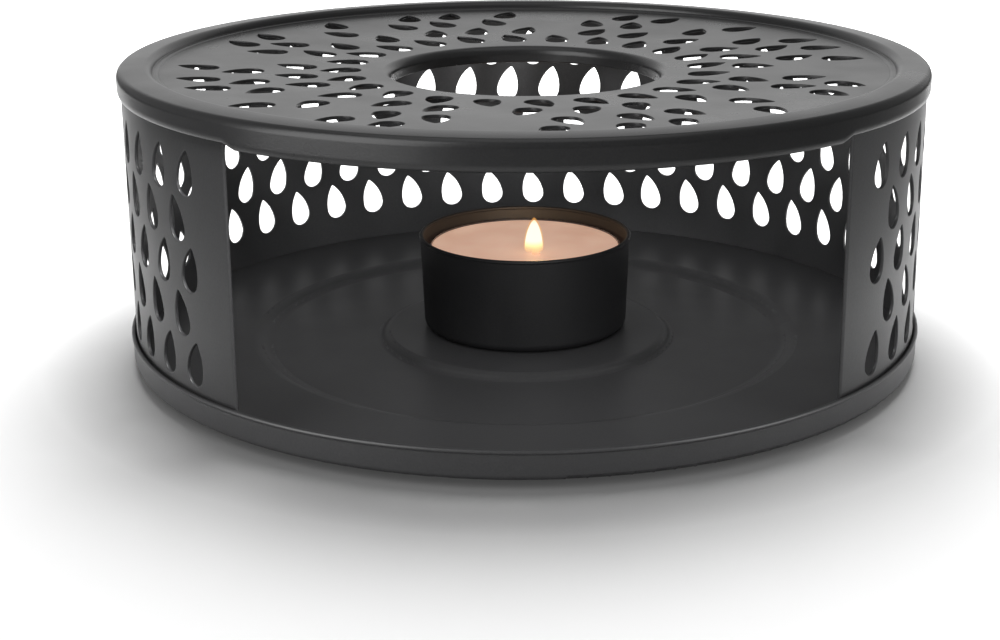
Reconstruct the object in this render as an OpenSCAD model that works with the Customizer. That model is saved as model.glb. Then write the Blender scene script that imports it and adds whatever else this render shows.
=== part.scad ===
// Round perforated teapot warmer in folded sheet metal, with a loose tealight holder.
// Millimetres. Origin on the ground under the middle, +Z up, the open window towards -Y.

/* [Body] */
// Outer diameter over the top skirt and the tray rim
body_d = 160; // [150:1:175]
// Total height from the ground to the top ring
body_h = 59.6; // [59.2:0.2:66]
// Thickness of the sheet metal
sheet_t = 0.6; // [0.5:0.05:0.7]
// Gap between the wall and the folded rims outside it
wall_gap = 0.1; // [0.05:0.05:0.3]
// Half of the angle that the open window takes up
window_half = 42.4; // [38:0.2:44]

/* [Top] */
// Height of the skirt over the window
skirt_h = 5.7; // [5.5:0.1:6]
// How much higher the skirt ends where it is crimped on the wall
crimp_rise = 0.95; // [0.6:0.05:1.1]
// Sideways run of the slanted step at each end of the crimp
crimp_run = 1.9; // [1:0.1:3]
// How far the wall reaches up inside the skirt, above the crimp
wall_lap = 0.7; // [0.4:0.1:0.8]
// Outer rounding between the skirt and the raised ring
shoulder_r = 1.5; // [1.2:0.1:1.8]
// Outer rounding over the ring's broad crown
crown_r = 11.3; // [10.8:0.1:11.8]
// Outer rounding from the crest down to the inside of the ring
ring_in_r = 3.1; // [2.8:0.1:3.4]
// Bend radius, in the middle of the sheet, where the ring meets the ledge
ring_foot_r = 0.6; // [0.4:0.1:0.8]
// Width of the ledge inside the ring
ledge_w = 0.5; // [0.3:0.1:0.8]
// Drop from the ledge to the plate
ledge_drop = 0.35; // [0.3:0.05:0.45]
// How much lower the plate lies at the opening than at the ring
dish_drop = 1.55; // [1:0.05:1.8]
// Radius of the round opening in the middle
opening_r = 27; // [26.5:0.1:27.5]
// Outer rounding of the lip at the opening
opening_lip_r = 1.8; // [1.3:0.1:2]
// Height of the straight collar below the lip
collar_h = 1.6; // [1:0.1:2.2]

/* [Drop holes] */
// Width of a drop hole
drop_w = 5; // [4.4:0.1:5.3]
// Length of a drop hole
drop_l = 8.5; // [7.8:0.1:8.7]
// Drop columns in a long row on the wall
wall_columns = 36; // [32:2:36]
// Angle from one wall column to the next
wall_pitch = 7.44; // [7.2:0.02:7.46]
// Rows of drops on the wall
wall_rows = 5; // [3:1:5]
// Height from one wall row to the next
row_pitch = 8.78; // [8.75:0.01:8.85]
// Height of the lowest row above the tray floor
row_rise = 6.3; // [5.8:0.1:6.6]
// Lean of the wall drops, turned the other way in every second row
wall_lean = 11; // [6:0.5:14]
// Lean of the plate drops, turned the other way in every second ring
plate_lean = 18; // [12:1:20]

/* [Tray] */
// Height of the tray rim above the underside of the tray's outer band
rim_h = 5.65; // [5:0.05:6.2]
// Radius of the bead along the tray rim
rim_bead_r = 0.45; // [0.4:0.05:0.5]
// Outer rounding between the tray rim and its underside
tray_corner_r = 1; // [0.8:0.1:1.1]
// Depth of the foot that is pressed down into the tray
foot_h = 1.4; // [1:0.1:1.5]
// Outer radius of the shoulder around the foot
foot_r = 56.5; // [55:0.5:58]
// Radius of the raised seat for the holder
seat_r = 28.2; // [27.5:0.1:29]

/* [Tealight holder] */
// Outer radius of the holder at its rim
holder_top_r = 21.8; // [21.7:0.05:22.2]
// Outer radius of the holder above its rounded bottom
holder_low_r = 21.15; // [21.05:0.05:21.5]
// Height of the holder
holder_h = 19.5; // [18.9:0.1:20.5]
// Thickness of the holder's sheet
holder_t = 0.5; // [0.4:0.05:0.6]
// Outer rounding of the holder's bottom
holder_corner_r = 1.6; // [1.2:0.1:1.7]
// Radius of the bead along the holder's rim
holder_bead_r = 0.42; // [0.4:0.01:0.5]
// How far the holder stands behind the middle
holder_back = 3; // [0:0.5:3]

/* [Tealight] */
// Outer radius of the tealight's cup
cup_r = 19.75; // [19.4:0.05:19.8]
// Height of the tealight's cup
cup_h = 16.6; // [16:0.1:17]
// Wall of the tealight's cup
cup_t = 0.3; // [0.25:0.05:0.35]
// How far the wax ends below the cup's rim
wax_drop = 0.3; // [0.2:0.1:1]
// Gap around the wax, the wick and the sustainer
wax_gap = 0.05; // [0.04:0.01:0.1]
// Radius of the wick
wick_r = 0.8; // [0.6:0.05:1]
// Length of wick above the wax
wick_out = 4; // [3:0.5:8]
// How far the wick stands to the right of the tealight's middle
wick_side = 2; // [-3:0.5:3]
// How far the wick stands in front of the tealight's middle
wick_front = 6; // [0:0.5:7]
// Radius of the sustainer plate under the wick
sustainer_r = 6.5; // [5:0.5:8]
// Thickness of the sustainer plate and of its neck
sustainer_t = 0.3; // [0.25:0.05:0.4]
// Height of the sustainer's neck
neck_h = 3; // [2:0.5:4]

/* [Hidden] */
$fn = 96;
drop_fn = 40;
// Amount by which a cutter passes the face it cuts
past = 1;
// Widths of the pressed steps, in whole ratios to their heights
ledge_step_w = 2 * ledge_drop;
foot_step_w = 3 * foot_h;
seat_step_w = 2 * foot_h;
body_r = body_d / 2;
half_t = sheet_t / 2;
wall_r = body_r - sheet_t - wall_gap;
tray_floor = foot_h + sheet_t;
tray_mid = foot_h + half_t;
skirt_z = body_h - skirt_h;
crimp_z = skirt_z + crimp_rise;
wall_top = crimp_z + wall_lap;
shoulder_mid_r = shoulder_r - half_t;
crown_mid_r = crown_r - half_t;
// Turn of the crown between its crest and the shoulder: a 7-24-25 triangle
crown_turn = 2 * atan(1 / 7);
crown_z = body_h - crown_r;
shoulder_x = body_r - shoulder_r;
shoulder_z = crown_z + (crown_r - shoulder_r) * cos(crown_turn);
crest_r = shoulder_x - (crown_r - shoulder_r) * sin(crown_turn);
crest_mid_r = ring_in_r - half_t;
// Slope of the ring's inner side: a 3-4-5 triangle
ring_slope = 2 * atan(1 / 2);
ledge_out = crest_r - (crest_mid_r + ring_foot_r) * sin(ring_slope);
ledge_mid = body_h - half_t - (crest_mid_r + ring_foot_r) * (1 - cos(ring_slope));
plate_out = ledge_out - ledge_w - ledge_step_w;
plate_mid = ledge_mid - ledge_drop;
dish_mid = plate_mid - dish_drop;
lip_in = opening_r + opening_lip_r;
lip_mid_r = opening_lip_r - half_t;
collar_top = dish_mid - lip_mid_r;
// Rings of drops in the plate: place between lip and ring, turn of the ring, and how far its columns are fanned
plate_place = [0.1905, 0.3973, 0.632, 0.8388];
plate_turn = [1.9, -5.1, 0.5, -4.4];
plate_fan = [0, 0.43, 0.82, 1];
// Sideways shift of each column of a quarter, and the angle from one column to the next
column_shift = [5.8, 2.6, -3.6, -1.4, 1.4, -4.8];
column_pitch = 15;
plate_quarter = column_pitch * len(column_shift);
// Strokes in which the wall was punched: where each ends, as an angle from the back, and its small turn
stroke_end = [-24, 30, 75, 127, 180];
stroke_turn = [0.45, 0, -0.2, -0.45, -0.9];
// Turn of the short rows against the long ones
short_row_turn = 0.44;
drop_r = drop_w / 2;
drop_tip = drop_l - drop_r;
drop_side_r = (drop_tip * drop_tip + drop_r * drop_r) / drop_w;
holder_z = tray_floor;
cup_z = holder_z + holder_t;
wax_z = cup_z + cup_t;
wax_top = cup_z + cup_h - wax_drop;
wick_z = wax_z + sustainer_t;
neck_r = wick_r + wax_gap + sustainer_t;
wick_y = holder_back - wick_front;

// Bent strip of sheet around a point, between two angles up to a quarter turn apart
module bend(x, z, mid_r, a0, a1, t = sheet_t) {
    far = 2 * (mid_r + t);
    translate([x, z])
        intersection() {
            difference() {
                circle(r = mid_r + t / 2);
                circle(r = mid_r - t / 2);
            }
            polygon([[0, 0], [far * cos(a0), far * sin(a0)], [far * cos(a1), far * sin(a1)]]);
        }
}

// Strip of sheet that is level at both ends, from an inner to an outer middle point
module level(x0, z0, x1, z1) {
    polygon([[x0, z0 - half_t], [x1, z1 - half_t], [x1, z1 + half_t], [x0, z0 + half_t]]);
}

// Double bend from an inner level to an outer level
module step(x0, z0, x1, z1) {
    turn = 2 * atan(abs(z1 - z0) / (x1 - x0));
    mid_r = (x1 - x0) / 2 / sin(turn);
    up = z1 > z0 ? 1 : -1;
    bend(x0, z0 + up * mid_r, mid_r, -up * 90, -up * (90 - turn));
    bend(x1, z1 - up * mid_r, mid_r, up * 90, up * (90 + turn));
}

// Drop outline with its middle in the origin: a half disc below and two side arcs up to the tip
module drop() {
    translate([0, (drop_r - drop_tip) / 2]) {
        intersection() {
            circle(r = drop_r, $fn = drop_fn);
            translate([-drop_r, -drop_r]) square([drop_w, drop_r]);
        }
        intersection() {
            translate([drop_side_r - drop_r, 0]) circle(r = drop_side_r);
            translate([drop_r - drop_side_r, 0]) circle(r = drop_side_r);
            translate([-drop_r, 0]) square([drop_w, drop_l]);
        }
    }
}

// Drops through the plate, tips outwards, in four equal quarters
module plate_drops() {
    for (quarter = [0 : 3], ring = [0 : len(plate_place) - 1], column = [0 : len(column_shift) - 1]) {
        a = quarter * plate_quarter + plate_turn[ring] + column * column_pitch
            + column_shift[column] * plate_fan[ring];
        lean = ring % 2 == 0 ? plate_lean : -plate_lean;
        r = lip_in + plate_place[ring] * (plate_out - lip_in);
        rotate([0, 0, a])
            translate([0, -r, collar_top - past])
                rotate([0, 0, 180 + lean])
                    linear_extrude(height = body_h - collar_top + 2 * past) drop();
    }
}

// Turn of the stroke that holds an angle from the back
function stroke(a) = [for (i = [0 : len(stroke_end) - 1]) if (a < stroke_end[i]) stroke_turn[i]][0];

// Drops through the wall, in rows that are shifted by half a column
module wall_drops() {
    for (row = [0 : wall_rows - 1]) {
        long_row = row % 2 == 0;
        count = long_row ? wall_columns : wall_columns - 1;
        lean = long_row ? -wall_lean : wall_lean;
        row_turn = long_row ? 0 : short_row_turn;
        z = tray_floor + row_rise + row * row_pitch + drop_l / 2;
        for (column = [0 : count - 1]) {
            a = (column - (count - 1) / 2) * wall_pitch;
            rotate([0, 0, 180 + a + stroke(a) + row_turn])
                translate([0, past + sheet_t - wall_r, z])
                    rotate([90, 0, 0])
                        linear_extrude(height = sheet_t + 2 * past) rotate([0, 0, lean]) drop();
        }
    }
}

// Part of the skirt that hangs lower over the window, with slanted ends
module window_skirt() {
    top_x = wall_r * sin(window_half);
    low_x = top_x - crimp_run;
    intersection() {
        rotate_extrude() translate([body_r - sheet_t, skirt_z]) square([sheet_t, crimp_rise]);
        rotate([90, 0, 0])
            linear_extrude(height = body_d)
                polygon([[-low_x, skirt_z], [low_x, skirt_z], [top_x, crimp_z], [-top_x, crimp_z]]);
    }
}

// Dished top with its raised ring, skirt, round opening and drops
module top_plate() {
    color([0.08, 0.08, 0.085])
    difference() {
        union() {
            rotate_extrude() {
                translate([body_r - sheet_t, crimp_z]) square([sheet_t, shoulder_z - crimp_z]);
                bend(shoulder_x, shoulder_z, shoulder_mid_r, 0, 90 - crown_turn);
                bend(crest_r, crown_z, crown_mid_r, 90 - crown_turn, 90);
                bend(crest_r, body_h - ring_in_r, crest_mid_r, 90, 90 + ring_slope);
                bend(ledge_out, ledge_mid + ring_foot_r, ring_foot_r, ring_slope - 90, -90);
                level(ledge_out - ledge_w, ledge_mid, ledge_out, ledge_mid);
                step(plate_out, plate_mid, ledge_out - ledge_w, ledge_mid);
                level(lip_in, dish_mid, plate_out, plate_mid);
                bend(lip_in, collar_top, lip_mid_r, 90, 180);
                translate([opening_r, collar_top - collar_h]) square([sheet_t, collar_h]);
            }
            window_skirt();
        }
        plate_drops();
    }
}

// Round wall, open over the window, with its drops
module wall() {
    color([0.1, 0.1, 0.105])
    difference() {
        rotate([0, 0, window_half - 90])
            rotate_extrude(angle = 360 - 2 * window_half)
                translate([wall_r - sheet_t, tray_floor]) square([sheet_t, wall_top - tray_floor]);
        wall_drops();
    }
}

// Tray with a beaded rim, a pressed foot and a raised seat
module base_tray() {
    rim_z = foot_h + rim_h - rim_bead_r;
    corner_x = body_r - tray_corner_r;
    corner_z = foot_h + tray_corner_r;
    foot_in = foot_r - foot_step_w;
    color([0.09, 0.09, 0.095])
    rotate_extrude() {
        translate([body_r - sheet_t + rim_bead_r, rim_z]) circle(r = rim_bead_r, $fn = drop_fn);
        translate([body_r - sheet_t, corner_z]) square([sheet_t, rim_z - corner_z]);
        difference() {
            intersection() {
                translate([corner_x, corner_z]) circle(r = tray_corner_r);
                translate([corner_x, foot_h]) square(tray_corner_r);
            }
            translate([corner_x - past, tray_floor])
                square([body_r - sheet_t - corner_x + past, tray_corner_r]);
        }
        level(foot_r, tray_mid, corner_x, tray_mid);
        step(foot_in, half_t, foot_r, tray_mid);
        level(seat_r + seat_step_w, half_t, foot_in, half_t);
        step(seat_r, tray_mid, seat_r + seat_step_w, half_t);
        level(0, tray_mid, seat_r, tray_mid);
    }
}

// Loose holder for the tealight, tapered, with a beaded rim
module tealight_holder() {
    corner_x = holder_low_r - holder_corner_r;
    bead_z = holder_h - holder_bead_r;
    color([0.07, 0.07, 0.08])
    translate([0, holder_back, holder_z])
        rotate_extrude() {
            square([corner_x, holder_t]);
            bend(corner_x, holder_corner_r, holder_corner_r - holder_t / 2, -90, 0, holder_t);
            polygon([[holder_low_r - holder_t, holder_corner_r], [holder_low_r, holder_corner_r],
                [holder_top_r, bead_z], [holder_top_r - holder_t, bead_z]]);
            translate([holder_top_r - holder_t / 2, bead_z]) circle(r = holder_bead_r, $fn = drop_fn);
        }
}

// Clear cup of the tealight, rounded outside at the bottom
module tealight_cup() {
    cup_in = cup_r - cup_t;
    color([0.85, 0.85, 0.87, 0.5])
    translate([0, holder_back, cup_z])
        rotate_extrude() {
            square([cup_in, cup_t]);
            intersection() {
                translate([cup_in, cup_t]) circle(r = cup_t, $fn = drop_fn);
                translate([cup_in, 0]) square(cup_t);
            }
            translate([cup_in, cup_t]) square([cup_t, cup_h - cup_t]);
        }
}

// Wax with room for the wick and its sustainer
module candle_wax() {
    color([0.93, 0.86, 0.8])
    difference() {
        translate([0, holder_back, wax_z]) cylinder(r = cup_r - cup_t - wax_gap, h = wax_top - wax_z);
        translate([wick_side, wick_y, wax_z - past]) {
            cylinder(r = sustainer_r + wax_gap, h = past + sustainer_t + wax_gap);
            cylinder(r = neck_r + wax_gap, h = past + neck_h + wax_gap);
            cylinder(r = wick_r + wax_gap, h = wax_top - wax_z + 2 * past);
        }
    }
}

// Wick, from the sustainer up through the wax
module wick() {
    color([0.2, 0.17, 0.15])
    translate([wick_side, wick_y, wick_z]) cylinder(r = wick_r, h = wax_top + wick_out - wick_z);
}

// Sustainer plate with a neck around the wick
module wick_sustainer() {
    color([0.7, 0.7, 0.72])
    translate([wick_side, wick_y, wax_z])
        difference() {
            union() {
                cylinder(r = sustainer_r, h = sustainer_t);
                cylinder(r = neck_r, h = neck_h);
            }
            translate([0, 0, sustainer_t]) cylinder(r = wick_r + wax_gap, h = neck_h);
        }
}

top_plate();
wall();
base_tray();
tealight_holder();
tealight_cup();
candle_wax();
wick();
wick_sustainer();
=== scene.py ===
import math

import bpy
import numpy as np
from mathutils import Matrix, Vector
from mathutils.geometry import delaunay_2d_cdt


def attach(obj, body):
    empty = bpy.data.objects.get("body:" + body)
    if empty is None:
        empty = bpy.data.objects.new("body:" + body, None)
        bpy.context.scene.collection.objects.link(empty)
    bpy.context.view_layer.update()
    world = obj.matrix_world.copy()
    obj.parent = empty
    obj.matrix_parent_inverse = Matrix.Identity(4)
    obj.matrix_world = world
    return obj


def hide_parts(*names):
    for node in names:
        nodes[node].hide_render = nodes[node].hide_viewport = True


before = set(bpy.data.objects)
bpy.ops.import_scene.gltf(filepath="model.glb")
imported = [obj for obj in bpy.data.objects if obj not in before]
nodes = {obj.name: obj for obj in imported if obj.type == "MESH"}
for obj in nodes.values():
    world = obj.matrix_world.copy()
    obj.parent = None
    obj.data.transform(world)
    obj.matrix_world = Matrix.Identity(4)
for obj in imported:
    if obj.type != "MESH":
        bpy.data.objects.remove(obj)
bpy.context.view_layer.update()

MM = 0.001

# Sizes of the sheet metal, in millimetres, as in the solids
SHEET = 0.6
HALF = SHEET / 2
BODY_R = 80.0
BODY_H = 59.6
WALL_GAP = 0.1
WALL_R = BODY_R - SHEET - WALL_GAP
WALL_MID = WALL_R - HALF
WINDOW_HALF = math.radians(42.4)
FOOT_H = 1.4
TRAY_FLOOR = FOOT_H + SHEET
SKIRT_H = 5.7
SKIRT_Z = BODY_H - SKIRT_H
CRIMP_RISE = 0.95
CRIMP_RUN = 1.9
WALL_LAP = 0.7
WALL_TOP = SKIRT_Z + CRIMP_RISE + WALL_LAP

# Ring of the top, with a crisper edge than the solid's and within the same box
LEDGE_OUT = 73.036
RING_RISE = 1.36
RING_TURN = math.radians(78)
RING_BENDS = RING_RISE / (1 - math.cos(RING_TURN))
RING_IN_SHARE = 0.75
RING_IN_MID = RING_IN_SHARE * RING_BENDS
RING_FOOT = RING_BENDS - RING_IN_MID
CREST_R = LEDGE_OUT + RING_BENDS * math.sin(RING_TURN)
CREST_MID = BODY_H - HALF
CROWN_MID = 30.0
SHOULDER_MID = 1.2
SHOULDER_R = BODY_R - SHOULDER_MID - HALF
CROWN_TURN = math.asin((SHOULDER_R - CREST_R) / (CROWN_MID - SHOULDER_MID))
CROWN_Z = CREST_MID - CROWN_MID
SHOULDER_Z = CROWN_Z + (CROWN_MID - SHOULDER_MID) * math.cos(CROWN_TURN)

# Plate, with a step at the ledge that runs twice as far as it drops
LEDGE_W = 0.5
LEDGE_DROP = 0.35
LEDGE_MID = CREST_MID - RING_RISE
LEDGE_IN = LEDGE_OUT - LEDGE_W
STEP_TURN = 2 * math.atan(0.5)
STEP_BEND = LEDGE_DROP / (1 - math.cos(STEP_TURN)) / 2
PLATE_OUT = LEDGE_IN - 2 * LEDGE_DROP
PLATE_MID = LEDGE_MID - LEDGE_DROP
DISH_DROP = 1.55
DISH_MID = PLATE_MID - DISH_DROP
OPENING_R = 27.0
LIP_R = 1.8
LIP_IN = OPENING_R + LIP_R
LIP_MID = LIP_R - HALF
DISH_SLOPE = DISH_DROP / (PLATE_OUT - LIP_IN)
COLLAR_H = 1.6
COLLAR_TOP = DISH_MID - LIP_MID
COLLAR_LOW = COLLAR_TOP - COLLAR_H

# Rounded free edges: the skirt's hem, and the outer and inner rounding of cut edges
HEM_IN = 0.46
HEM_RISE = 1.3
EDGE_REST = 0.02
HOLE_EDGE = (0.2, 0.1)
WINDOW_EDGE = (0.48, 0.1)
CORNER_R = 0.5

# Drop holes
DROP_R = 2.5
DROP_L = 8.5
DROP_TIP = DROP_L - DROP_R
DROP_SIDE = (DROP_TIP ** 2 + DROP_R ** 2) / (2 * DROP_R)
TIP_ROUND = 0.3
WALL_ROWS = 5
WALL_COLUMNS = 36
WALL_PITCH = 7.44
WALL_LEAN = 11
ROW_RISE = 6.3
ROW_PITCH = 8.78
SHORT_ROW_TURN = 0.44
# Runs of columns, as if punched in strokes: where each ends, in degrees from the back, and its small turn
STROKES = ((-24, 0.45), (30, 0.0), (75, -0.2), (127, -0.45), (180, -0.9))
PLATE_QUARTERS = 4
PLATE_PITCH = 15
PLATE_LEAN = 18
# Each ring of drops: its place from the lip to the step, its turn, and its share of the columns' shifts
PLATE_RINGS = ((0.1905, 1.9, 0), (0.3973, -5.1, 0.43), (0.632, 0.5, 0.82), (0.8388, -4.4, 1))
COLUMN_SHIFTS = (5.8, 2.6, -3.6, -1.4, 1.4, -4.8)

# Fineness of the meshes: counts round the axis and along the wall, and spacing of the grid points
TURN_COUNT = 360
WALL_STEPS = 260
UPRIGHT_STEPS = 30
WALL_GRID_U = 2.2
WALL_GRID_Z = 1.9
WALL_SIDE_START = 1.5
WALL_LOW_START = 1.2
PLATE_GRID = 2.4
HOLE_CLEAR = 0.75
BORDER_CLEAR = 0.9

# Candle
HOLDER_BACK = 3.0
WAX_LOW = 2.8
WAX_TOP = 18.8
WAX_R = 19.4
WAX_CORNER = 0.3
WAX_LIP_W = 0.04
WAX_LIP_H = 0.1
WAX_RIM_W = 0.25
WAX_RIM_DROP = 0.08
POOL_DEPTH = 0.28
POOL_RUN = 0.8
WICK_X = 2.0
WICK_Y = HOLDER_BACK - 6.0
CHAR_H = 3
FLAME_X = WICK_X - 0.5
FLAME_LOW = WAX_TOP + 0.1
FLAME_LEAN = 0.1
FLAME_POINT = 2.1
FLAME_FULL = 0.72
FOOT_DRAW = 0.4
FOOT_RATE = 30
GLOW_H = 8.2
LIGHT_RISE = 5

# Camera as fitted to the photograph, with its place in metres
CAMERA_PLACE = (-0.0156, -0.3462, 0.11808)
CAMERA_YAW = math.radians(3.434)
CAMERA_PITCH = math.radians(16.233)
CAMERA_ROLL = math.radians(0.07)
CAMERA_SENSOR = 36.0
CAMERA_LENS = 62.64
CAMERA_SHIFT = (-0.0507, -0.0643)

# Floor, in metres: half its width, how its painted pool of light widens backwards, and the ranges where its
# painted shade and painted glow change
FLOOR_HALF = 4.0
FLOOR_WIDENS = 0.27
FLOOR_SIDE = (0.125, 0.225)
FLOOR_FRONT = (-0.33, -0.2)
FLOOR_CLOSE = (0.082, 0.098)
FLOOR_UNDER = (0.082, 0.1)
FLOOR_BEHIND = (0.12, 0.36)

# Background: strength of the even dome, the way to its bright part, and the ranges where that part ends
DOME = 0.25
BACKGROUND_WAY = (0.156, 0.988, 0)
BACKGROUND_WIDTH = (0.77, 0.92)
BACKGROUND_HEIGHT = (0.24, 0.46)


# Mesh helpers

def make_object(name, points, faces, normals=None):
    """A new mesh object from points in millimetres, with its own smooth normals."""
    mesh = bpy.data.meshes.new(name)
    mesh.from_pydata([tuple(p) for p in np.asarray(points) * MM], [], faces)
    mesh.polygons.foreach_set("use_smooth", [True] * len(mesh.polygons))
    mesh.update()
    if normals is not None:
        mesh.normals_split_custom_set_from_vertices([tuple(n) for n in normals])
    obj = bpy.data.objects.new(name, mesh)
    bpy.context.scene.collection.objects.link(obj)
    return obj


class Builder:
    """Collects points, normals and faces of one piece."""

    def __init__(self):
        self.points = []
        self.normals = []
        self.faces = []

    def add(self, points, normals):
        """Adds points and gives the number of the first one."""
        first = sum(len(p) for p in self.points)
        self.points.append(np.asarray(points, float))
        self.normals.append(np.asarray(normals, float))
        return first

    def band(self, low, high, count):
        """Quads between two closed rows of points that start at low and high."""
        for i in range(count):
            j = (i + 1) % count
            self.faces.append((low + i, low + j, high + j, high + i))

    def sweep(self, profile, outwards, lift=0.0):
        """Rows of points round the axis from (r, z, nr, nz); lift is a height for each way outwards."""
        rows = []
        count = len(outwards)
        for r, z, nr, nz in profile:
            points = np.column_stack([r * outwards, np.full(count, z) + lift])
            normals = np.column_stack([nr * outwards, np.full(count, nz)])
            rows.append(self.add(points, normals))
        return rows

    def build(self, name):
        return make_object(name, np.concatenate(self.points), self.faces, np.concatenate(self.normals))


def arc(middle_x, middle_z, radius, start, end, steps, side):
    """Points of an arc in degrees, with unit normals outwards for side 1 and inwards for side -1."""
    angle = np.radians(np.linspace(start, end, steps + 1))
    c, s = np.cos(angle), np.sin(angle)
    return np.column_stack([middle_x + radius * c, middle_z + radius * s, side * c, side * s])


def both_sides(middle):
    """The outside of a sheet with this middle profile, and its inside on the way back."""
    shift = HALF * middle[:, 2:]
    outer = np.column_stack([middle[:, :2] + shift, middle[:, 2:]])
    inner = np.column_stack([middle[:, :2] - shift, -middle[:, 2:]])
    return outer, inner[::-1]


def drop_outline():
    """Outline of a drop hole around its middle, tip up, with unit normals that point out of the hole."""
    low = (DROP_R - DROP_TIP) / 2
    side_x = DROP_SIDE - DROP_R
    rise = math.sqrt((DROP_SIDE - TIP_ROUND) ** 2 - side_x ** 2)
    turn = math.degrees(math.atan2(rise, side_x))
    return np.concatenate([
        arc(0, low, DROP_R, 180, 360, 20, 1)[:-1],
        arc(-side_x, low, DROP_SIDE, 0, turn, 8, 1)[:-1],
        arc(0, low + rise, TIP_ROUND, turn, 180 - turn, 5, 1)[:-1],
        arc(side_x, low, DROP_SIDE, 180 - turn, 180, 8, 1)[:-1],
    ])


def placed_drop(outline, turn, middle):
    """Flat points of a drop hole, turned and moved to its middle, and the ways from them into the sheet."""
    c, s = math.cos(turn), math.sin(turn)
    matrix = np.array([[c, s], [-s, c]])
    return outline[:, :2] @ matrix + middle, outline[:, 2:] @ matrix


def rolled_edge(outer, inner, steps):
    """Rows of a cut edge: way into the sheet, height, and the normal's shares away from the sheet and up."""
    rows = []
    for i in range(steps + 1):
        b = math.pi / 2 * i / steps
        c, s = math.cos(b), math.sin(b)
        rows.append((outer * (1 - s), HALF - outer * (1 - c), s, c))
    for i in range(steps + 1):
        b = math.pi / 2 * (1 - i / steps)
        c, s = math.cos(b), math.sin(b)
        rows.append((inner * (1 - s), -HALF + inner * (1 - c), s, -c))
    return rows


def grid_between(xs, ys, holes):
    """Grid points, every second row moved by half a step, that keep clear of the holes."""
    gx, gy = np.meshgrid(xs, ys)
    gx = gx + (np.arange(len(ys)) % 2)[:, None] * (xs[1] - xs[0]) / 2
    grid = np.stack([gx.ravel(), gy.ravel()], axis=1)
    keep = np.ones(len(grid), bool)
    for hole in holes:
        middle = hole.mean(axis=0)
        reach = np.linalg.norm(hole - middle, axis=1).max() + HOLE_CLEAR
        near = np.where(np.linalg.norm(grid - middle, axis=1) < reach)[0]
        if len(near) == 0:
            continue
        p = grid[near]
        gap = np.linalg.norm(p[:, None] - hole[None], axis=2).min(axis=1)
        after = np.roll(hole, -1, axis=0)
        cross = (after[None, :, 0] - hole[None, :, 0]) * (p[:, None, 1] - hole[None, :, 1])
        cross -= (after[None, :, 1] - hole[None, :, 1]) * (p[:, None, 0] - hole[None, :, 0])
        inside = (cross > 0).all(axis=1)
        keep[near[(gap < HOLE_CLEAR) | inside]] = False
    return grid[keep]


def triangulate(loops, extra):
    """Triangles between the loops and the extra points; those that only fill a hole are left out."""
    flat = np.concatenate(loops + [extra])
    owner = np.full(len(flat), -1)
    edges = []
    first = 0
    for k, loop in enumerate(loops):
        n = len(loop)
        owner[first:first + n] = k
        edges += [(first + i, first + (i + 1) % n) for i in range(n)]
        first += n
    out = delaunay_2d_cdt([Vector(p) for p in flat], edges, [], 0, 1e-6, True)
    source = [ids[0] for ids in out[3]]
    triangles = []
    for face in out[2]:
        tri = tuple(source[i] for i in face)
        own = owner[list(tri)]
        if own[0] > 0 and own[0] == own[1] == own[2]:
            continue
        triangles.append(tri)
    return triangles


def sheet_with_edges(builder, loops, ways, extra, place, edges, skip=()):
    """A sheet between flat loops, the first of them the outer one, with both faces and rolled edges.

    The ways point from each loop into the sheet, and the loops in skip get no edge. place(flat, height)
    gives points, and for each one the surface normal and the two directions along the sheet."""
    sizes = [len(loop) for loop in loops]
    starts = np.concatenate([[0], np.cumsum(sizes)])
    tops = [loop + edge[0][0] * way for loop, way, edge in zip(loops, ways, edges)]
    lows = [loop + edge[-1][0] * way for loop, way, edge in zip(loops, ways, edges)]
    triangles = triangulate(tops, extra)

    points, up = place(np.concatenate(tops + [extra]), HALF)[:2]
    top = builder.add(points, up)
    builder.faces += [(top + a, top + b, top + c) for a, b, c in triangles]
    points, up = place(np.concatenate(lows + [extra]), -HALF)[:2]
    low = builder.add(points, -up)
    builder.faces += [(low + c, low + b, low + a) for a, b, c in triangles]

    for n, (loop, way) in enumerate(zip(loops, ways)):
        if n in skip:
            continue
        before = top + starts[n]
        for inwards, height, away, upward in edges[n][1:-1]:
            points, up, along, across = place(loop + inwards * way, height)
            flat_way = way[:, :1] * along + way[:, 1:] * across
            row = builder.add(points, upward * up - away * flat_way)
            builder.band(before, row, sizes[n])
            before = row
        builder.band(before, low + starts[n], sizes[n])
    return top, low, starts


def revolve(name, profile, count, at, lean=0.0):
    """A closed piece round an upright axis from (r, z), both ends on the axis; its top leans by lean."""
    low, high = profile[0][1], profile[-1][1]
    rings = []
    for r, z in profile:
        rings.append((at[0] + lean * ((z - low) / (high - low)) ** 2, r, z))
    a = np.linspace(0, 2 * math.pi, count, endpoint=False)
    points = [(rings[0][0], at[1], low)]
    for x, r, z in rings[1:-1]:
        points += [(x + r * math.cos(t), at[1] + r * math.sin(t), z) for t in a]
    points.append((rings[-1][0], at[1], high))
    last = 1 + (len(rings) - 3) * count
    faces = []
    for i in range(count):
        j = (i + 1) % count
        faces.append((0, 1 + j, 1 + i))
        for row in range(1, last, count):
            above = row + count
            faces.append((row + i, row + j, above + j, above + i))
        faces.append((last + i, last + j, len(points) - 1))
    return make_object(name, points, faces)


# Wall

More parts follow.
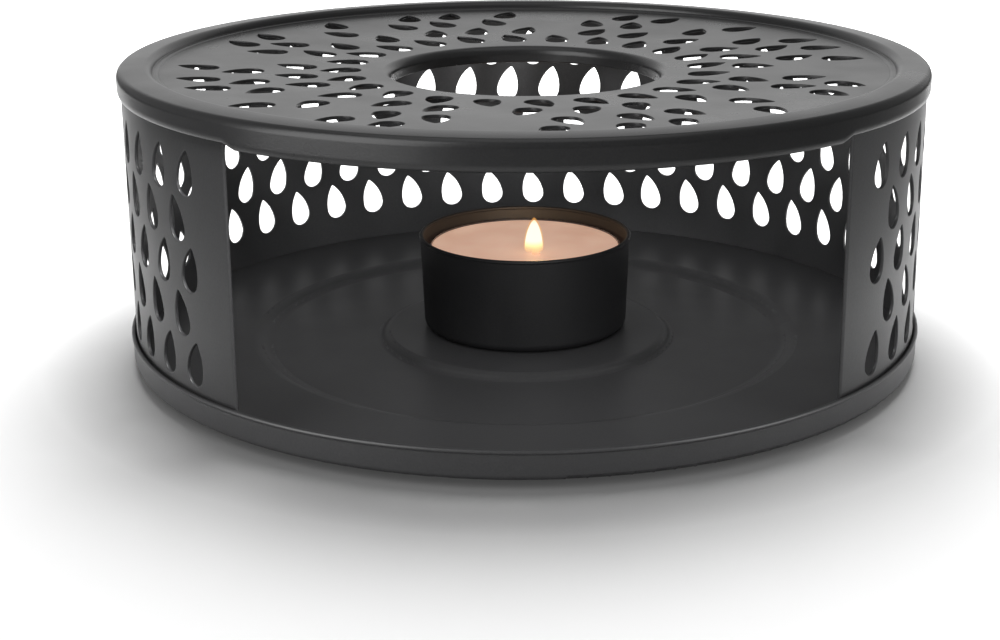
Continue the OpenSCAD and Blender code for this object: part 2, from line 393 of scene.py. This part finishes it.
def wall_border(half_span):
    """Flat outline of the wall with rounded corners, and the ways from it into the sheet."""
    side = half_span - CORNER_R
    low, high = TRAY_FLOOR + CORNER_R, WALL_TOP - CORNER_R
    middles = ((side, low, -90), (side, high, 0), (-side, high, 90), (-side, low, 180))
    corners = [arc(u, z, CORNER_R, start, start + 90, 4, 1) for u, z, start in middles]
    runs = []
    for k, here in enumerate(corners):
        after = corners[(k + 1) % len(corners)]
        count = UPRIGHT_STEPS if k % 2 == 0 else WALL_STEPS
        t = np.linspace(0, 1, count + 1)[1:-1, None]
        line = here[-1:, :2] * (1 - t) + after[:1, :2] * t
        runs += [here, np.column_stack([line, np.repeat(here[-1:, 2:], len(line), axis=0)])]
    border = np.concatenate(runs)[::-1]
    return border[:, :2], -border[:, 2:]


def wall_drops():
    """The wall's drop holes in rows, every second one shorter and leaning the other way."""
    outline = drop_outline()
    drops = []
    for row in range(WALL_ROWS):
        short = row % 2
        count = WALL_COLUMNS - short
        lean = math.radians(WALL_LEAN if short else -WALL_LEAN)
        z = TRAY_FLOOR + ROW_RISE + row * ROW_PITCH + DROP_L / 2
        for column in range(count):
            at = (column - (count - 1) / 2) * WALL_PITCH
            stroke = next(turned for end, turned in STROKES if at < end)
            u = math.radians(at + stroke + short * SHORT_ROW_TURN) * WALL_MID
            drops.append(placed_drop(outline, lean, (u, z)))
    return drops


def wall_place(flat, height):
    """Points of the round wall, its normal and the two directions along it; flat 0 is at the back."""
    a = flat[:, 0] / WALL_MID + math.pi
    r = WALL_MID + height
    zero = np.zeros_like(a)
    up = np.column_stack([np.sin(a), -np.cos(a), zero])
    along = np.column_stack([np.cos(a), np.sin(a), zero])
    across = np.tile([0.0, 0.0, 1.0], (len(a), 1))
    return np.column_stack([r * up[:, :2], flat[:, 1]]), up, along, across


def wall_piece():
    """The round wall with its rolled drop holes and rounded free edges."""
    half_span = (math.pi - WINDOW_HALF) * WALL_MID
    outlines = [wall_border(half_span)] + wall_drops()
    loops = [loop for loop, way in outlines]
    ways = [way for loop, way in outlines]
    first, last = loops[0].min(axis=0) + BORDER_CLEAR, loops[0].max(axis=0) - BORDER_CLEAR
    xs = np.arange(-half_span + WALL_SIDE_START, half_span - WALL_SIDE_START, WALL_GRID_U)
    ys = np.arange(TRAY_FLOOR + WALL_LOW_START, WALL_TOP - BORDER_CLEAR, WALL_GRID_Z)
    extra = grid_between(xs, ys, loops[1:])
    extra = extra[(extra > first).all(axis=1) & (extra < last).all(axis=1)]
    edges = [rolled_edge(*WINDOW_EDGE, steps=6)] + [rolled_edge(*HOLE_EDGE, steps=3)] * (len(loops) - 1)
    builder = Builder()
    sheet_with_edges(builder, loops, ways, extra, wall_place, edges)
    return builder.build("wall_sheet")


# Top

def skirt_low(a):
    """Height of the skirt's lower edge at an angle from the front: lower over the window."""
    x = np.where(np.cos(a) > 0, np.abs(BODY_R * np.sin(a)), BODY_R)
    crimp_x = WALL_R * math.sin(WINDOW_HALF)
    t = np.clip((x - (crimp_x - CRIMP_RUN)) / CRIMP_RUN, 0, 1)
    return SKIRT_Z + CRIMP_RISE * t * t * (3 - 2 * t)


def ring_profile():
    """Middle of the sheet from the step at the plate over the ledge, ring and crown to the skirt."""
    step = math.degrees(STEP_TURN)
    turn = math.degrees(RING_TURN)
    crown_end = 90 - math.degrees(CROWN_TURN)
    return np.concatenate([
        arc(PLATE_OUT, PLATE_MID + STEP_BEND, STEP_BEND, -90, -90 + step, 4, -1)[1:],
        arc(LEDGE_IN, LEDGE_MID - STEP_BEND, STEP_BEND, 90 + step, 90, 4, 1)[1:],
        arc(LEDGE_OUT, LEDGE_MID + RING_FOOT, RING_FOOT, -90, -90 + turn, 5, -1),
        arc(CREST_R, CREST_MID - RING_IN_MID, RING_IN_MID, 90 + turn, 90, 9, 1)[1:],
        arc(CREST_R, CROWN_Z, CROWN_MID, 90, crown_end, 5, 1)[1:],
        arc(SHOULDER_R, SHOULDER_Z, SHOULDER_MID, crown_end, 0, 16, 1)[1:],
    ])


def hem_profile():
    """The skirt's lower edge, with heights above it: a long outer rounding and a short inner one."""
    rows = []
    for b in np.linspace(0, math.pi / 2, 11):
        c, s = math.cos(b), math.sin(b)
        slant = math.hypot(HEM_RISE * c, HEM_IN * s)
        normal = (HEM_RISE * c / slant, -HEM_IN * s / slant)
        rows.append((BODY_R - HEM_IN * (1 - c), HEM_RISE * (1 - s), *normal))
    inner = SHEET - HEM_IN - EDGE_REST
    for b in np.linspace(0, math.pi / 2, 4):
        c, s = math.cos(b), math.sin(b)
        rows.append((BODY_R - SHEET + inner * (1 - s), inner * (1 - c), -s, -c))
    return rows


def collar_end():
    """The rounded lower edge of the opening's collar, from its inside to its outside."""
    rest = HALF - EDGE_REST
    rows = []
    for b in np.linspace(0, math.pi, 7):
        c, s = math.cos(b), math.sin(b)
        rows.append((OPENING_R + HALF * (1 - c), COLLAR_LOW + rest * (1 - s), -c, -s))
    return rows


def plate_drops():
    """The plate's drop holes in rings, alike in every quarter, every second ring leaning the other way."""
    outline = drop_outline()
    drops = []
    for quarter in range(PLATE_QUARTERS):
        for ring, (share, turn, fan) in enumerate(PLATE_RINGS):
            lean = PLATE_LEAN if ring % 2 == 0 else -PLATE_LEAN
            middle_r = LIP_IN + share * (PLATE_OUT - LIP_IN)
            for column, shift in enumerate(COLUMN_SHIFTS):
                degrees = quarter * 360 / PLATE_QUARTERS + turn + column * PLATE_PITCH + shift * fan
                angle = math.radians(degrees)
                middle = middle_r * np.array([math.sin(angle), -math.cos(angle)])
                drops.append(placed_drop(outline, angle + math.radians(180 + lean), middle))
    return drops


def plate_place(flat, height):
    """Points of the dished plate, its normal and the two directions along it."""
    r = np.linalg.norm(flat, axis=1)
    z = DISH_MID + (r - LIP_IN) * DISH_SLOPE + height
    up = np.column_stack([-DISH_SLOPE * flat / r[:, None], np.ones_like(r)])
    up /= np.linalg.norm(up, axis=1)[:, None]
    along = np.tile([1.0, 0.0, 0.0], (len(r), 1))
    across = np.tile([0.0, 1.0, 0.0], (len(r), 1))
    return np.column_stack([flat, z]), up, along, across


def top_piece():
    """The dished top: one sheet from the collar over the pierced plate and the ring to the skirt's edge."""
    a = np.linspace(0, 2 * math.pi, TURN_COUNT, endpoint=False)
    outwards = np.column_stack([np.sin(a), -np.cos(a)])
    backwards = outwards[::-1]
    drops = plate_drops()
    loops = [outwards * PLATE_OUT, backwards * LIP_IN] + [loop for loop, way in drops]
    ways = [np.zeros_like(outwards)] * 2 + [way for loop, way in drops]
    side = np.arange(-PLATE_OUT, PLATE_OUT, PLATE_GRID)
    extra = grid_between(side, side, loops[2:])
    r = np.linalg.norm(extra, axis=1)
    extra = extra[(r > LIP_IN + BORDER_CLEAR) & (r < PLATE_OUT - BORDER_CLEAR)]
    edges = [rolled_edge(*HOLE_EDGE, steps=3)] * len(loops)
    builder = Builder()
    top, low, starts = sheet_with_edges(builder, loops, ways, extra, plate_place, edges, skip=(0, 1))

    outer, inner = both_sides(ring_profile())
    skirt = builder.sweep(outer, outwards) + builder.sweep(hem_profile(), outwards, skirt_low(a))
    skirt += builder.sweep(inner, outwards)
    outer, inner = both_sides(arc(LIP_IN, COLLAR_TOP, LIP_MID, 90, 180, 10, 1)[1:])
    collar = builder.sweep(outer, backwards) + builder.sweep(collar_end(), backwards)
    collar += builder.sweep(inner, backwards)
    for start, rows in zip(starts, (skirt, collar)):
        path = [top + start] + rows + [low + start]
        for before, after in zip(path[:-1], path[1:]):
            builder.band(after, before, TURN_COUNT)
    return builder.build("top_sheet")


# Candle

def wax_piece():
    """The wax, with a melted pool round the wick and a raised edge at the cup."""
    pool_r = WAX_R - WAX_RIM_W
    pool_top = WAX_TOP - WAX_RIM_DROP
    # A ring on the flat bottom and one on the straight side keep both evenly shaded
    bottom_ring = 6.6
    side_ring = 10.0
    profile = [(0, WAX_LOW), (bottom_ring, WAX_LOW), (WAX_R - WAX_CORNER, WAX_LOW),
               (WAX_R, WAX_LOW + WAX_CORNER), (WAX_R, side_ring), (WAX_R, WAX_TOP - WAX_LIP_H),
               (WAX_R - WAX_LIP_W, WAX_TOP), (pool_r, pool_top)]
    rings = 25
    for i in range(1, rings):
        r = pool_r * (1 - i / rings)
        profile.append((r, pool_top - POOL_DEPTH * (1 - math.exp(-(pool_r - r) / POOL_RUN))))
    profile.append((0, profile[-1][1]))
    return revolve("wax_pool", profile, count=128, at=(0, HOLDER_BACK))


def flame_piece(name, height, radius):
    """A flame above the wick: pointed at the top and drawn in a little at its foot."""
    rings = 26
    profile = [(0, FLAME_LOW)]
    for k in range(1, rings):
        t = k / rings
        belly = (1 - t ** FLAME_POINT) ** FLAME_FULL
        foot = 1 - FOOT_DRAW * math.exp(-FOOT_RATE * t)
        profile.append((radius * belly * foot, FLAME_LOW + height * t))
    profile.append((0, FLAME_LOW + height))
    return revolve(name, profile, count=32, at=(FLAME_X, WICK_Y), lean=FLAME_LEAN)


# Material helpers

def new_material(name):
    material = bpy.data.materials.new(name)
    material.use_nodes = True
    tree = material.node_tree
    return material, tree, tree.nodes["Principled BSDF"]


def object_place(tree):
    return tree.nodes.new("ShaderNodeTexCoord").outputs["Object"]


def axes(tree, place):
    """The X, Y and Z of a place."""
    node = tree.nodes.new("ShaderNodeSeparateXYZ")
    tree.links.new(place, node.inputs["Vector"])
    return node.outputs["X"], node.outputs["Y"], node.outputs["Z"]


def noise(tree, place, scale, detail=2.0, rough=0.5):
    node = tree.nodes.new("ShaderNodeTexNoise")
    node.inputs["Scale"].default_value = scale
    node.inputs["Detail"].default_value = detail
    node.inputs["Roughness"].default_value = rough
    tree.links.new(place, node.inputs["Vector"])
    return node.outputs["Fac"]


def spread(tree, value, start, end, within=(0.3, 0.7)):
    """Goes from start to end while the value runs through the range within, and stays level outside it."""
    node = tree.nodes.new("ShaderNodeMapRange")
    node.inputs["From Min"].default_value = within[0]
    node.inputs["From Max"].default_value = within[1]
    node.inputs["To Min"].default_value = start
    node.inputs["To Max"].default_value = end
    tree.links.new(value, node.inputs["Value"])
    return node.outputs["Result"]


def ramp(tree, value, stops):
    node = tree.nodes.new("ShaderNodeValToRGB")
    items = node.color_ramp.elements
    while len(items) < len(stops):
        items.new(0.5)
    for item, (at, colour) in zip(items, stops):
        item.position = at
        item.color = (*colour, 1.0)
    tree.links.new(value, node.inputs["Fac"])
    return node.outputs["Color"]


def maths(tree, operation, *values):
    """A maths node; each value is a number or another node's output."""
    node = tree.nodes.new("ShaderNodeMath")
    node.operation = operation
    for socket, value in zip(node.inputs, values):
        if isinstance(value, float):
            socket.default_value = value
        else:
            tree.links.new(value, socket)
    return node.outputs["Value"]


def dress(obj, material):
    obj.data.materials.clear()
    obj.data.materials.append(material)


# Materials

def powder_coat(name, dark, light, rough, grain):
    """Satin black powder coat: fine grain, faint clouds in its gloss."""
    material, tree, shader = new_material(name)
    place = object_place(tree)
    clouds = noise(tree, place, scale=60.0, detail=3.0)
    fine = noise(tree, place, scale=2600.0, rough=0.6)
    tree.links.new(ramp(tree, fine, [(0.25, dark), (0.75, light)]), shader.inputs["Base Color"])
    tree.links.new(spread(tree, clouds, rough - 0.03, rough + 0.03), shader.inputs["Roughness"])
    shader.inputs["IOR"].default_value = 1.45
    bump = tree.nodes.new("ShaderNodeBump")
    bump.inputs["Strength"].default_value = grain
    bump.inputs["Distance"].default_value = 0.00006
    tree.links.new(fine, bump.inputs["Height"])
    tree.links.new(bump.outputs["Normal"], shader.inputs["Normal"])
    return material


def wax_material():
    """Warm wax, with the flame's light from within painted in as a glow of its own colour."""
    material, tree, shader = new_material("wax_melted")
    clouds = noise(tree, object_place(tree), scale=120.0, detail=3.0)
    colour = ramp(tree, clouds, [(0.3, (0.58, 0.35, 0.25)), (0.7, (0.66, 0.42, 0.31))])
    tree.links.new(colour, shader.inputs["Base Color"])
    # Painted light: the wax's own colour glows for the flame's light inside it
    tree.links.new(colour, shader.inputs["Emission Color"])
    shader.inputs["Emission Strength"].default_value = 0.75
    tree.links.new(spread(tree, clouds, 0.28, 0.4), shader.inputs["Roughness"])
    shader.inputs["Subsurface Weight"].default_value = 0.6
    shader.inputs["Subsurface Radius"].default_value = (0.006, 0.003, 0.002)
    shader.inputs["Subsurface Scale"].default_value = 1.0
    shader.inputs["IOR"].default_value = 1.43
    return material


def clear_material():
    """Clear plastic of the tealight's cup, with faintly uneven gloss."""
    material, tree, shader = new_material("clear_cup")
    faint = noise(tree, object_place(tree), scale=300.0)
    tree.links.new(spread(tree, faint, 0.08, 0.16), shader.inputs["Roughness"])
    shader.inputs["Base Color"].default_value = (0.93, 0.93, 0.94, 1)
    shader.inputs["Transmission Weight"].default_value = 1.0
    shader.inputs["IOR"].default_value = 1.49
    return material


def wick_material():
    """Cotton that is waxy below and charred above; it glows inside the flame, and lower down its glow is
    painted light of the flame.
    """
    material, tree, shader = new_material("wick_charred")
    place = object_place(tree)
    weave = noise(tree, place, scale=900.0)
    height = spread(tree, axes(tree, place)[2], 0.0, 1.0, (WAX_TOP * MM, (WAX_TOP + CHAR_H) * MM))
    char = [(0.0, (0.5, 0.33, 0.23)), (0.45, (0.2, 0.11, 0.06)), (1.0, (0.05, 0.03, 0.02))]
    tree.links.new(ramp(tree, height, char), shader.inputs["Base Color"])
    # Real glow up in the flame, and painted light of the flame lower down at the wax
    glow = [(0.0, (0.6, 0.36, 0.22)), (0.4, (0.95, 0.6, 0.28)), (1.0, (1.0, 0.85, 0.5))]
    tree.links.new(ramp(tree, height, glow), shader.inputs["Emission Color"])
    shader.inputs["Emission Strength"].default_value = 0.9
    tree.links.new(spread(tree, weave, 0.6, 0.9), shader.inputs["Roughness"])
    return material


def metal_material():
    """Thin tin of the wick's sustainer."""
    material, tree, shader = new_material("sustainer_tin")
    faint = noise(tree, object_place(tree), scale=500.0)
    shader.inputs["Base Color"].default_value = (0.55, 0.55, 0.57, 1)
    shader.inputs["Metallic"].default_value = 1.0
    tree.links.new(spread(tree, faint, 0.25, 0.45), shader.inputs["Roughness"])
    return material


def flame_material(name, stops, strength, solid, solid_at):
    """Glow that changes with height: clear at the wax, and as solid as it gets from solid_at on."""
    material = bpy.data.materials.new(name)
    material.use_nodes = True
    tree = material.node_tree
    tree.nodes.clear()
    z = axes(tree, object_place(tree))[2]
    height = spread(tree, z, 0.0, 1.0, (WAX_TOP * MM, (WAX_TOP + GLOW_H) * MM))
    glow = tree.nodes.new("ShaderNodeEmission")
    tree.links.new(ramp(tree, height, stops), glow.inputs["Color"])
    glow.inputs["Strength"].default_value = strength
    clear = tree.nodes.new("ShaderNodeBsdfTransparent")
    mix = tree.nodes.new("ShaderNodeMixShader")
    tree.links.new(spread(tree, height, 0.0, solid, (0.0, solid_at)), mix.inputs["Fac"])
    tree.links.new(clear.outputs["BSDF"], mix.inputs[1])
    tree.links.new(glow.outputs["Emission"], mix.inputs[2])
    out = tree.nodes.new("ShaderNodeOutputMaterial")
    tree.links.new(mix.outputs["Shader"], out.inputs["Surface"])
    return material


def floor_material():
    """Pale floor with painted shade and painted light: its colour is darker far aside, far in front and
    close under the body, and it glows close under the body and behind it.
    """
    material, tree, shader = new_material("floor_white")
    place = object_place(tree)
    x, y = axes(tree, place)[:2]
    length = tree.nodes.new("ShaderNodeVectorMath")
    length.operation = "LENGTH"
    tree.links.new(place, length.inputs[0])
    away = length.outputs["Value"]
    # Painted shade: the colour darkens far aside and far in front, outside a painted pool of light that
    # widens backwards
    aside = maths(tree, "MULTIPLY_ADD", y, -FLOOR_WIDENS, maths(tree, "ABSOLUTE", x))
    between = spread(tree, aside, 1.0, 0.0, FLOOR_SIDE)
    front = spread(tree, y, 0.0, 1.0, FLOOR_FRONT)
    # Painted shade close under the body, standing in for its contact shadow
    painted_contact_shade = spread(tree, away, 0.64, 1.0, FLOOR_CLOSE)
    painted_lit_share = maths(tree, "MULTIPLY", maths(tree, "MULTIPLY", between, front), painted_contact_shade)
    colour = ramp(tree, painted_lit_share, [(0.0, (0.18, 0.18, 0.18)), (1.0, (0.85, 0.85, 0.85))])
    tree.links.new(colour, shader.inputs["Base Color"])
    shader.inputs["Roughness"].default_value = 0.9
    shader.inputs["Specular IOR Level"].default_value = 0.1
    shader.inputs["Emission Color"].default_value = (1, 1, 1, 1)
    # Painted light: a glow behind the body within the pool, and a faint glow close under the body
    behind = maths(tree, "MULTIPLY", spread(tree, y, 0.0, 0.9, FLOOR_BEHIND), between)
    painted_contact_glow = spread(tree, away, 0.045, 0.0, FLOOR_UNDER)
    tree.links.new(maths(tree, "ADD", behind, painted_contact_glow), shader.inputs["Emission Strength"])
    return material


# Studio

def add_camera():
    yaw, pitch, roll = CAMERA_YAW, CAMERA_PITCH, CAMERA_ROLL
    forward = Vector((math.sin(yaw) * math.cos(pitch), math.cos(yaw) * math.cos(pitch), -math.sin(pitch)))
    level = Vector((math.cos(yaw), -math.sin(yaw), 0))
    upright = level.cross(forward)
    right = math.cos(roll) * level + math.sin(roll) * upright
    up = math.cos(roll) * upright - math.sin(roll) * level
    turn = Matrix((right, up, -forward)).transposed().to_4x4()
    data = bpy.data.cameras.new("camera")
    data.sensor_width = CAMERA_SENSOR
    data.lens = CAMERA_LENS
    data.shift_x, data.shift_y = CAMERA_SHIFT
    data.clip_start = 0.01
    camera = bpy.data.objects.new("camera", data)
    camera.matrix_world = Matrix.Translation(CAMERA_PLACE) @ turn
    bpy.context.scene.collection.objects.link(camera)
    bpy.context.scene.camera = camera


def add_floor():
    half = FLOOR_HALF
    corners = [(-half, -half, 0), (half, -half, 0), (half, half, 0), (-half, half, 0)]
    mesh = bpy.data.meshes.new("floor")
    mesh.from_pydata(corners, [], [(0, 1, 2, 3)])
    floor = bpy.data.objects.new("floor", mesh)
    bpy.context.scene.collection.objects.link(floor)
    dress(floor, floor_material())
    return floor


def add_world():
    """An even dome with a brighter low background behind the object."""
    world = bpy.data.worlds.new("studio")
    bpy.context.scene.world = world
    world.use_nodes = True
    tree = world.node_tree
    way = tree.nodes.new("ShaderNodeTexCoord").outputs["Generated"]
    facing = tree.nodes.new("ShaderNodeVectorMath")
    facing.operation = "DOT_PRODUCT"
    facing.inputs[1].default_value = BACKGROUND_WAY
    tree.links.new(way, facing.inputs[0])
    behind = spread(tree, facing.outputs["Value"], 0.0, 0.3, BACKGROUND_WIDTH)
    low = spread(tree, axes(tree, way)[2], 1.0, 0.0, BACKGROUND_HEIGHT)
    total = maths(tree, "ADD", maths(tree, "MULTIPLY", behind, low), DOME)
    background = tree.nodes["Background"]
    tree.links.new(total, background.inputs["Strength"])
    background.inputs["Color"].default_value = (1, 1, 1, 1)


def light_only(light, objects):
    """Let a light reach these objects and no others."""
    group = bpy.data.collections.new(light.name + "_lit")
    for obj in objects:
        group.objects.link(obj)
    light.light_linking.receiver_collection = group


def add_area(name, place, target, size, power, lit, shape="RECTANGLE"):
    """A soft light in metres and watts; the camera doesn't see it, and it reaches only the lit objects."""
    data = bpy.data.lights.new(name, "AREA")
    data.shape = shape
    data.size, data.size_y = size
    data.energy = power
    light = bpy.data.objects.new(name, data)
    light.location = place
    light.rotation_euler = (Vector(target) - Vector(place)).to_track_quat("-Z", "Y").to_euler()
    light.visible_camera = False
    bpy.context.scene.collection.objects.link(light)
    light_only(light, lit)
    return light


def add_candle_light(lit):
    """The flame's own light, which moves with the tealight."""
    data = bpy.data.lights.new("candle_light", "POINT")
    data.energy = 0.024
    data.color = (1.0, 0.62, 0.3)
    data.shadow_soft_size = 0.002
    light = bpy.data.objects.new("candle_light", data)
    light.location = (WICK_X * MM, WICK_Y * MM, (WAX_TOP + LIGHT_RISE) * MM)
    bpy.context.scene.collection.objects.link(light)
    light_only(light, lit)
    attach(light, "tealight")


# Object

add_camera()
bpy.context.scene.view_settings.view_transform = "Standard"
tray = nodes["base_tray"]
holder = nodes["tealight_holder"]

top = top_piece()
# The top gets a darker copy of the coat that the wall and tray have: painted shade for its darker skirt
dress(top, powder_coat("coat_top", (0.012, 0.012, 0.0125), (0.018, 0.018, 0.0185), 0.29, 0.25))
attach(top, "shell")
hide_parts("top_plate")

wall = wall_piece()
dress(wall, powder_coat("coat_wall", (0.026, 0.026, 0.027), (0.036, 0.036, 0.037), 0.36, 0.25))
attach(wall, "shell")
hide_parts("wall")

dress(tray, powder_coat("coat_tray", (0.026, 0.026, 0.027), (0.036, 0.036, 0.037), 0.36, 0.25))
dress(holder, powder_coat("coat_holder", (0.01, 0.01, 0.011), (0.014, 0.014, 0.015), 0.5, 0.2))
dress(nodes["tealight_cup"], clear_material())
dress(nodes["wick"], wick_material())
dress(nodes["wick_sustainer"], metal_material())

wax = wax_piece()
dress(wax, wax_material())
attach(wax, "tealight")
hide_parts("candle_wax")

core = flame_piece("flame_core", 6.8, 1.9)
core_stops = [(0.0, (0.9, 0.55, 0.28)), (0.12, (0.96, 0.62, 0.28)), (0.23, (1.0, 0.93, 0.45)),
              (0.34, (1.0, 0.99, 0.92)), (0.75, (1.0, 0.99, 0.92)), (0.86, (1.0, 0.85, 0.5))]
dress(core, flame_material("flame_core", core_stops, strength=1.3, solid=1.0, solid_at=0.24))
halo = flame_piece("flame_halo", 7.3, 2.15)
halo_stops = [(0.0, (1.0, 0.5, 0.2)), (0.5, (1.0, 0.6, 0.2)), (1.0, (1.0, 0.4, 0.08))]
dress(halo, flame_material("flame_halo", halo_stops, strength=1.1, solid=0.3, solid_at=0.35))
for glow in (core, halo):
    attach(glow, "tealight")
    glow.visible_shadow = False

# Floor, background and lights
floor = add_floor()
add_world()
add_area("floor_light", place=(0.0268, 0.1967, 0.414), target=(0.0268, 0.1967, 0), size=(0.441, 0.441),
         power=4.88, lit=[floor], shape="DISK")
add_area("back_card", place=(0, 0.25, 0.17), target=(0, 0, 0.17), size=(0.42, 0.22), power=0.11, lit=[top])
add_area("over_panel", place=(0, 0, 0.6), target=(0, 0, 0), size=(0.5, 0.5), power=0.5, lit=[top])
add_area("left_box", place=(-0.255, -0.23, 0.25), target=(0, -0.04, 0.25), size=(0.28, 0.5),
         power=1.6, lit=[top])
add_area("tray_box_near", place=(-0.27, -0.205, 0.2), target=(0, -0.034, 0.2), size=(0.2, 0.4),
         power=0.6, lit=[tray])
add_area("tray_box_side", place=(0.27, -0.205, 0.2), target=(0, -0.034, 0.2), size=(0.2, 0.4),
         power=0.5, lit=[tray])
add_area("front_box", place=(0.2, -1.0, 0.4), target=(0, 0, 0.03), size=(0.8, 0.5), power=6.0,
         lit=[wall, wax, holder, nodes["tealight_cup"], nodes["wick"]])
add_area("tray_box_left", place=(-0.785, -0.453, 0.45), target=(0, 0, 0.03), size=(0.95, 0.9),
         power=8.0, lit=[tray])
add_area("tray_box_right", place=(0.785, -0.453, 0.4), target=(0, 0, 0.03), size=(0.8, 0.7),
         power=5.0, lit=[tray])
bay_top = add_area("bay_top", place=(0, 0, 0.051), target=(0, 0, 0), size=(0.12, 0.12),
                   power=0.045, lit=[tray], shape="DISK")
bay_top.visible_glossy = False
add_area("bay_box", place=(0, -0.055, 0.052), target=(0, 0.075, 0.02), size=(0.09, 0.008),
         power=0.025, lit=[wall])
add_area("opening_box", place=(-0.04, -0.1, 0.2), target=(0.015, 0.078, 0.008), size=(0.06, 0.06),
         power=1.2, lit=[wall])
add_candle_light([holder])
